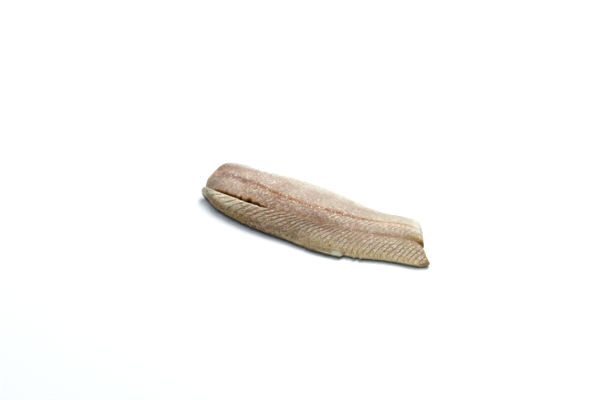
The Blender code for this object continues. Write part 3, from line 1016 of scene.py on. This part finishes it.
# The notch is painted dark brown as its shade
notch = from_groove.size().above(1.2, 0.2) * to_cut.above(8, 4)
colour = coats(
    colour,
    (fact("knife") * 0.75, paint(176, 154, 88)),
    (cut_band * 0.7, paint(176, 146, 84)),
    (loin_end * 0.7 * (0.4 + 0.8 * streaks), paint(212, 188, 116)),
    (foot * 0.92, paint(148, 108, 18)),
    (white_end * 0.5, paint(222, 230, 216)),
    # the notch, painted shade
    (notch * 0.45, paint(126, 86, 18)),
)
count_nodes("cut")

# %% [markdown]
# ## Lip and lobe
# The lip has a thin pale border of belly membrane, and the lobe is that membrane alone: thin,
# greenish and see-through. On the solid body it is painted instead, darker where the surface
# below would show, with a pale blob and a pale rim, whose pale is partly painted glow of the
# light from behind shining through the thin membrane.

# %% Paint the lip, the lobe and a few rusty dots
down = fact("down")
lip_border = share.above(0.020, 0.003) * down.above(0.30, 0.10) * along.above(-30, 12)
lobe_here = fact("lobe") + speckle.swing(0.5)
ragged = along + speckle.swing(9) + grain.swing(3)
blob = ragged.within(24.5, 28.5, 28.5, 31.5) * share.above(0.055, 0.02)
# The lobe's pale rim is partly painted glow of the light from behind through the membrane
lobe_rim_glow = share.above(0.008, 0.001) * down.above(0.2, 0.06) * along.above(6, 24)
lobe_paint = coats(
    paint(96, 76, 26),
    (grain.above(0.44, 0.60), paint(134, 112, 56)),
    (blob * 0.6, paint(206, 206, 186)),
    (lobe_rim_glow * 0.9, paint(222, 222, 196)),
)
dots = noise(1.6, detail=1, move=13).above(0.64, 0.70)
dots = dots * share.within(0.03, 0.08, 0.28, 0.36) * along.above(4, 24)
colour = coats(
    colour,
    (lip_border * 0.6, paint(216, 204, 158)),
    (lobe_here.above(0.58, 0.70) * 0.85, lobe_paint),
    (lobe_here.within(0.24, 0.48, 0.60, 0.80) * 0.6, paint(122, 86, 52)),
    (dots * 0.5, paint(150, 82, 48)),
)
count_nodes("lobe")

# %% Small dark specks
# As (place along, place across, radius), with the solid core as a share of the radius
SPECKS = ((-33.9, -16.9, 0.9), (20.5, -23.5, 0.8), (-8.9, 1.9, 0.9), (60, 13.2, 0.7))
SPECK_CORE, SPECK_BROWN = 0.4, paint(84, 50, 38)
in_plan = moist.node("ShaderNodeVectorMath", {"operation": "MULTIPLY"},
                     {0: moist.place, 1: (1, 1, 0)})
for speck_x, speck_y, radius in SPECKS:
    centre = ((speck_x - MIDDLE[0]) * MM, (speck_y - MIDDLE[1]) * MM, 0)
    away = moist.node("ShaderNodeVectorMath", {"operation": "DISTANCE"},
                      {0: in_plan.outputs[0], 1: centre}).outputs["Value"]
    speck = (Mask(moist, away) / MM + grain.swing(1.2)).above(radius, radius * SPECK_CORE)
    colour = coats(colour, (speck * 0.8, SPECK_BROWN))
print("specks:", len(SPECKS))

# %% [markdown]
# ## Silver skin
# The side the fillet lies on still has its skin: silver with a blue-grey cast. On the wall the
# skin stops at a ragged line, above which the skinning knife has left bare flesh. It is the same
# mesh, so the skin is a mask from how far down the wall a point is, with noise on it.

# %% Skin, and the shadow under the lip
skin = (down + patchy.swing(0.25) + speckle.swing(0.12)).above(0.50, 0.56)
scales = noise(0.9, detail=2, stretch=(1, 2.4, 1), move=7)
silver = moist.mix(scales.above(0.35, 0.65), paint(120, 130, 140), paint(214, 222, 228))
under_lip = down.above(0.22, 0.46) * share.above(0.05, 0.01)
colour = coats(colour, (skin, silver), (under_lip * 0.95, paint(44, 26, 14)))
count_nodes("skin")

# %% Gloss, bump and the finished material
# Moist flesh lets light in for about a millimetre, red the furthest, and has a thin wet coat
height = noise(0.6, move=1) * 0.4 + grain * 0.7 + streaks * 0.5 - crease * 0.25
bump = moist.node("ShaderNodeBump", {}, {"Strength": 0.5, "Distance": 0.0006, "Height": height})
wet = grain.above(0.57, 0.66) * fine_streaks.above(0.42, 0.6) * (1 - 0.8 * dusk)
# In the slit the gloss mirrors the opposite wall, not the sky, so it takes the flesh's colour
moist.set(Base_Color=colour, Normal=bump.outputs[0],
          Metallic=skin * (1 - under_lip) * 0.75 + slit * 0.5,
          Roughness=0.50 - 0.14 * patchy + dusk * 0.14 + slit * 0.4 - skin * 0.12,
          Coat_Weight=(0.06 + 0.8 * wet) * (1 - slit))
moist.set(IOR=1.40, Subsurface_Weight=0.14, Subsurface_Radius=(1, 0.48, 0.28),
          Subsurface_Scale=0.0012, Coat_Roughness=0.16)
flesh_mesh.materials.append(moist.material)
count_nodes("gloss")

# %% [markdown]
# ## Floor, light and camera
# The fillet lies on a plain white surface. One large soft light stands behind it and high up, so
# the back is the brightest and a narrow soft shadow falls towards the viewer. The sky is bluish
# and strong overhead only, like a soft ceiling, which keeps the flap clear and gives the wet
# flesh its pale gloss. A world that is white all round would wash out the shadow.

# %% Floor
FLOOR_REACH, FLOOR_DROP = 4, 0.0001
floor_finish = Finish("pale_floor")
floor_mesh = bpy.data.meshes.new("floor")
corners = [(a * FLOOR_REACH, b * FLOOR_REACH, 0) for a, b in ((-1, -1), (1, -1), (1, 1), (-1, 1))]
floor_mesh.from_pydata(corners, [], [(0, 1, 2, 3)])
floor = bpy.data.objects.new("floor", floor_mesh)
scene.collection.objects.link(floor)
floor.location.z = -FLOOR_DROP
clouds = floor_finish.noise(400, detail=1)
floor_finish.set(Base_Color=floor_finish.mix(clouds, (0.90, 0.90, 0.91, 1), (0.93, 0.93, 0.93, 1)),
                 Roughness=0.7)
floor_mesh.materials.append(floor_finish.material)
print("floor, metres wide:", 2 * FLOOR_REACH)

# %% Soft light
# Azimuth and elevation in degrees, and distance in metres
LIGHT_FROM, LIGHT_SIZE, LIGHT_POWER, LIGHT_TINT = (187, 48, 1.5), 0.9, 26, (1, 0.98, 0.95)


def look_from(thing, azimuth, elevation, distance, target):
    """Puts a camera or light there, with its -Z axis towards the target."""
    a, e = math.radians(azimuth), math.radians(elevation)
    back = np.array([math.sin(a) * math.cos(e), -math.cos(a) * math.cos(e), math.sin(e)])
    thing.location = np.array(target) + distance * back
    thing.rotation_euler = (math.pi / 2 - e, 0, a)


softbox_data = bpy.data.lights.new("back_softbox", "AREA")
softbox_data.size, softbox_data.energy, softbox_data.color = LIGHT_SIZE, LIGHT_POWER, LIGHT_TINT
softbox = bpy.data.objects.new("back_softbox", softbox_data)
look_from(softbox, *LIGHT_FROM, (0, 0, 0))
scene.collection.objects.link(softbox)
print("softbox height, metres:", round(softbox.location.z, 2))

# %% Sky
# The sky's strength rises from low to high between these heights of its unit sphere
SKY_RISES, SKY_STRENGTHS, SKY_TINT = (0.62, 1), (0.02, 1.5), (0.84, 0.93, 1, 1)
world = bpy.data.worlds.new("white_room")
world.use_nodes = True
sky = Graph(world.node_tree)
direction = sky.node("ShaderNodeTexCoord", {}, {}).outputs["Generated"]
overhead = Mask(sky, sky.node("ShaderNodeSeparateXYZ", {}, {0: direction}).outputs["Z"])
background = sky.tree.nodes["Background"].inputs
sky.join(overhead.above(*SKY_RISES, *SKY_STRENGTHS), background["Strength"])
sky.join(SKY_TINT, background["Color"])
scene.world = world
print("sky nodes:", len(sky.tree.nodes))

# %% Camera
# The photo's viewing angle, and the middle of its frame
VIEW_FROM, VIEW_TARGET, LENS = (28, 38, 0.939), (-0.01579, 0.00334, 0.01257), 80
camera_data = bpy.data.cameras.new("camera")
camera_data.lens = LENS
camera = bpy.data.objects.new("camera", camera_data)
look_from(camera, *VIEW_FROM, VIEW_TARGET)
scene.collection.objects.link(camera)
scene.camera = camera
scene.view_settings.view_transform = "Standard"
print("camera, metres:", [round(c, 3) for c in camera.location])
